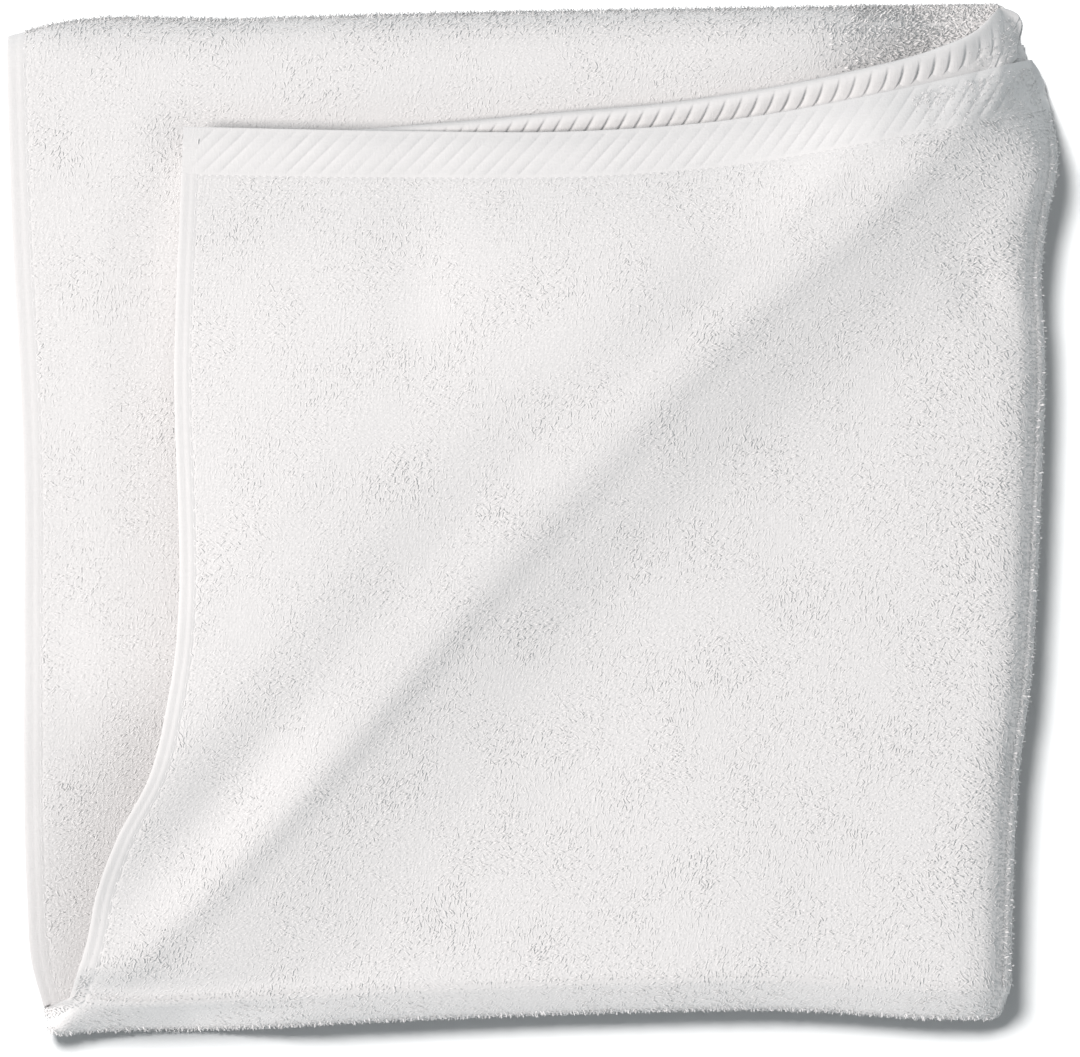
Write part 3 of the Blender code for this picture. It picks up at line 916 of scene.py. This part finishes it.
pieces.append(grains("standing_loops", places + out * 0.3 * MM, out, angle, length, radius, lift, bow, stand))
print("standing loops:", len(places))

# %% [markdown]
# ## The stitches
# The side hems and the end band are sewn down with a straight lockstitch in white thread. A dashed line in
# a material would be flat, so each stitch is a grain of thread that lies along its seam and sinks in at
# both ends.

# %% Stitches
STITCH_PITCH = 3.0 * MM
STITCH_LENGTH, THREAD_RADIUS, STITCH_LIFT = 2.3 * MM, 0.19 * MM, 0.16 * MM
# Each seam's distance from the edge, its height off the cloth's middle, and the share at which it starts.
SIDE_SEAM, SIDE_SEAM_HEIGHT, SIDE_SEAM_START = 5.8 * MM, 1.3 * MM, 0.012
END_SEAM, END_SEAM_HEIGHT, END_SEAM_START = 16.4 * MM, 1.27 * MM, 0.02


def seam(part, across, along, height):
    """Stitches along a line on the cloth, each lying along the line."""
    places, out = facing(part, across, along, 0 * across, height)
    return places, out, np.gradient(places, axis=0)


seams = []
for strip in range(4):
    down = scattered(SIDE_SEAM_START, 1, STITCH_PITCH / STRIP_LENGTH)
    seams.append(seam(2 * strip, SIDE_SEAM / STRIP_WIDTH + 0 * down, down, SIDE_SEAM_HEIGHT))
over = scattered(END_SEAM_START, 1, STITCH_PITCH / STRIP_WIDTH)
seams.append(seam(0, over, END_SEAM / STRIP_LENGTH + 0 * over, END_SEAM_HEIGHT))
places, out, lie = (np.concatenate([line[k] for line in seams]) for k in range(3))
count = np.ones(len(places))
stitches = grains("stitches", places, out, lie, STITCH_LENGTH * count, THREAD_RADIUS * count,
                  STITCH_LIFT * count, 0 * count)
print("stitches:", len(places))

# %% [markdown]
# ## The stage and the lights
# White cloth on a white floor shows its folds only by soft shading. A wide low light from the left draws
# the ridge and the loops, and a pale room fills the shadows. That light's shadow on the floor would be
# long, so the floor has its own light, nearly overhead, which leaves the short soft shadow below and right
# of the towel.

# %% Colours and soft lights
def colour(hex_code):
    """A linear colour from an sRGB hex code."""
    parts = [int(hex_code[k:k + 2], 16) / 255 for k in (1, 3, 5)]
    return (*[c / 12.92 if c <= 0.04045 else ((c + 0.055) / 1.055) ** 2.4 for c in parts], 1.0)


def soft_light(name, towards, distance, size, strength, tint, receivers):
    """A round soft light, named by the direction it comes from, that only lights the given pieces."""
    lamp = bpy.data.objects.new(name, bpy.data.lights.new(name, "AREA"))
    lamp.data.shape = "DISK"
    lamp.data.size = size
    lamp.data.energy = strength * (math.pi * distance) ** 2
    lamp.data.color = colour(tint)[:3]
    place = Vector(towards).normalized() * distance
    lamp.location = place
    lamp.rotation_euler = (-place).to_track_quat("-Z", "Y").to_euler()
    bpy.context.scene.collection.objects.link(lamp)
    lit = bpy.data.collections.new(name + " receivers")
    for piece in receivers:
        lit.objects.link(piece)
    lamp.light_linking.receiver_collection = lit
    print(name, "lights", len(receivers), "pieces")


def from_sky(azimuth, height):
    """The direction towards a place in the sky, from two angles in degrees."""
    a, h = math.radians(azimuth), math.radians(height)
    return (math.cos(a) * math.cos(h), math.sin(a) * math.cos(h), math.sin(h))


# %% The floor, the lights and the room
FLOOR_HALF = 3.0
FLOOR_DROP = 0.2 * MM
floor_corners = [(FLOOR_HALF * a, FLOOR_HALF * b, 0) for a, b in ((-1, -1), (1, -1), (1, 1), (-1, 1))]
floor_mesh = bpy.data.meshes.new("floor")
floor_mesh.from_pydata(floor_corners, [], [(0, 1, 2, 3)])
floor = bpy.data.objects.new("floor", floor_mesh)
floor.location.z = -FLOOR_DROP
bpy.context.scene.collection.objects.link(floor)
towel_pieces = [ground, band_top, band_under, hem_outer, hem_inner, stitches, *pieces]
soft_light("low key", from_sky(184, 45), distance=5.0, size=2.25, strength=1.14, tint="#FFF7F4",
           receivers=towel_pieces)
soft_light("overhead", from_sky(120, 64.5), distance=3.0, size=0.95, strength=1.92, tint="#FFFFFF",
           receivers=[floor])
world = bpy.data.worlds.new("soft white room")
bpy.context.scene.world = world
world.use_nodes = True
background = world.node_tree.nodes["Background"].inputs
background["Color"].default_value = colour("#F3FBFF")
background["Strength"].default_value = 0.42
bpy.context.scene.view_settings.view_transform = "Standard"

# %% [markdown]
# ## Cotton, thread and paper
# All of the towel is bleached cotton. What tells its parts apart is how the yarn lies: in loops, in plain
# cloth, in ribs or in a sewn thread. An image of cloth would repeat and blur, so each finish is a
# procedural noise drawn out into strokes of a yarn's size, which gives a fine relief and a painted shade
# between the strokes, darker where the yarn lies lower.

# %% Adding a node, and a matte surface
# Cotton and paper are cellulose, whose fibres have an IOR of 1.53 or more. Loose fibres look duller than a
# solid, so this is a little lower, and the specular level is under half of Blender's own 0.5.
FIBRE_IOR = 1.5
FIBRE_SPECULAR = 0.2


def add(tree, kind, sockets=None, **settings):
    """Add a node with its settings; a socket is given a value, or an output to link from."""
    node = tree.nodes.new(kind)
    for name, value in settings.items():
        setattr(node, name, value)
    for name, value in (sockets or {}).items():
        if isinstance(value, bpy.types.NodeSocket):
            tree.links.new(value, node.inputs[name])
        else:
            node.inputs[name].default_value = value
    return node


def matte(name, roughness, sheen=0.0):
    """A material with a soft matte surface, and its node tree, surface and object coordinates."""
    made = bpy.data.materials.new(name)
    made.use_nodes = True
    tree = made.node_tree
    surface = tree.nodes["Principled BSDF"]
    surface.inputs["Roughness"].default_value = roughness
    surface.inputs["IOR"].default_value = FIBRE_IOR
    surface.inputs["Specular IOR Level"].default_value = FIBRE_SPECULAR
    surface.inputs["Sheen Weight"].default_value = sheen
    where = add(tree, "ShaderNodeTexCoord").outputs["Object"]
    print("material:", name)
    return made, tree, surface, where


# %% Strokes of yarn
def strokes(tree, where, degrees, long, wide):
    """A noise drawn out into strokes of the given length and width, lying at an angle in plan."""
    turned = add(tree, "ShaderNodeVectorRotate", {"Vector": where, "Angle": -math.radians(degrees)},
                 rotation_type="Z_AXIS")
    scaled = add(tree, "ShaderNodeVectorMath", {0: turned.outputs[0], 1: (1 / long, 1 / wide, 1 / wide)},
                 operation="MULTIPLY")
    noise = add(tree, "ShaderNodeTexNoise", {"Vector": scaled.outputs[0], "Scale": 1.0, "Detail": 2.0})
    return noise.outputs["Fac"]


# %% Terry and woven finishes
# Loop yarn is usually no more than 0.5 mm wide, and it is drawn at 0.8 mm so that it shows.
LOOP_YARN_LENGTH, LOOP_YARN_WIDTH = 2.4 * MM, 0.8 * MM
# Degrees in plan that loop yarn lies at, one or the other, and the size of the patches of each.
LOOP_YARN_WAYS = (30, 78)
COMBED_PATCH = 9 * MM
# Degrees in plan of threads along and across the pulled strips. A woven thread shows for under a millimetre
# before it goes under the next, and it is drawn at 3 mm so that it shows.
WARP_WAY, WEFT_WAY = 92, 4
WOVEN_YARN_LENGTH = 3.0 * MM


def dress(tree, surface, yarn, light, painted_shade, relief):
    """Give a surface the relief of its yarn, raised on it and lower between, and its colour: its own on the
    yarn and a darker painted shade between.
    """
    # Painted shade: the colour goes from the yarn's own light colour on the strokes to a darker one where the
    # yarn is lower, between them.
    tone = add(tree, "ShaderNodeMix", {"Factor": yarn, 6: colour(painted_shade), 7: colour(light)}, data_type="RGBA")
    bump = add(tree, "ShaderNodeBump", {"Height": yarn, "Strength": 1.0, "Distance": relief})
    tree.links.new(tone.outputs[2], surface.inputs["Base Color"])
    tree.links.new(bump.outputs["Normal"], surface.inputs["Normal"])


def terry(name, light, painted_shade, relief):
    """Yarn strokes that lie one of two ways, in patches, as combed by a hand."""
    made, tree, surface, where = matte(name, roughness=0.95, sheen=0.05)
    patch = add(tree, "ShaderNodeTexNoise", {"Vector": where, "Scale": 1 / COMBED_PATCH, "Detail": 1.0})
    border = {"Value": patch.outputs["Fac"], "From Min": 0.44, "From Max": 0.56}
    either = add(tree, "ShaderNodeMapRange", border).outputs[0]
    one_way, other_way = (strokes(tree, where, way, LOOP_YARN_LENGTH, LOOP_YARN_WIDTH)
                          for way in LOOP_YARN_WAYS)
    yarn = add(tree, "ShaderNodeMix", {"Factor": either, "A": one_way, "B": other_way}).outputs["Result"]
    dress(tree, surface, yarn, light, painted_shade, relief)
    return made


def woven(name, light, painted_shade, yarn_width, relief):
    """Two sets of yarn strokes, lengthways and crossways."""
    made, tree, surface, where = matte(name, roughness=0.9)
    warp, weft = (strokes(tree, where, way, WOVEN_YARN_LENGTH, yarn_width) for way in (WARP_WAY, WEFT_WAY))
    yarn = add(tree, "ShaderNodeMath", {0: warp, 1: weft}, operation="MAXIMUM").outputs[0]
    dress(tree, surface, yarn, light, painted_shade, relief)
    return made


# %% The towel's cottons
# Loops of soft-spun, bleached yarn: light sinks in between them and comes back, so they look chalky.
loop_cotton = terry("terry loop cotton", "#E8E8E8", "#DBDBDB", 0.16 * MM)
# The plain weave that the loops are anchored in, the same cotton as the loops: its colour is a little darker
# as painted shade, since it lies deeper in the pile.
ground_cotton = terry("terry ground cotton", "#E6E6E6", "#D8D8D8", 0.15 * MM)
# The border, woven flat and pressed: smoother and evener than the pile. Real yarn here is about 0.3 mm wide,
# and it is drawn at 0.7 mm so that it shows.
band_cotton = woven("woven band cotton", "#E8E8E8", "#DBDBDB", 0.7 * MM, 0.12 * MM)
# The turned and pressed side hems: the same weave, worn a little smoother and drawn as coarsely.
hem_cotton = woven("hem cotton", "#E6E6E6", "#D9D9D9", 0.7 * MM, 0.10 * MM)
# Twisted and mercerised sewing thread: tighter than yarn, so it is the least rough.
thread, _, thread_surface, _ = matte("cotton sewing thread", roughness=0.7)
thread_surface.inputs["Base Color"].default_value = colour("#E3E3E3")
# A roll of uncoated paper under the towel: even and matte.
paper, _, paper_surface, _ = matte("white paper", roughness=0.9)
paper_surface.inputs["Base Color"].default_value = colour("#CACACA")
floor.data.materials.append(paper)

# %% [markdown]
# ## Hand over
# The whole towel is one soft thing that doesn't move on its own, so every piece rides with the root and
# shows in place of the plain solid. The ground cloth is the sheet: 70 by 140 cm when flat, held in its
# folds.

# %% Hand over
finishes = {ground: ground_cotton, band_top: band_cotton, band_under: band_cotton, hem_outer: hem_cotton,
            hem_inner: hem_cotton, stitches: thread}
for piece in towel_pieces:
    piece.data.materials.append(finishes.get(piece, loop_cotton))
    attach(piece, "root")
    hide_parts("towel")
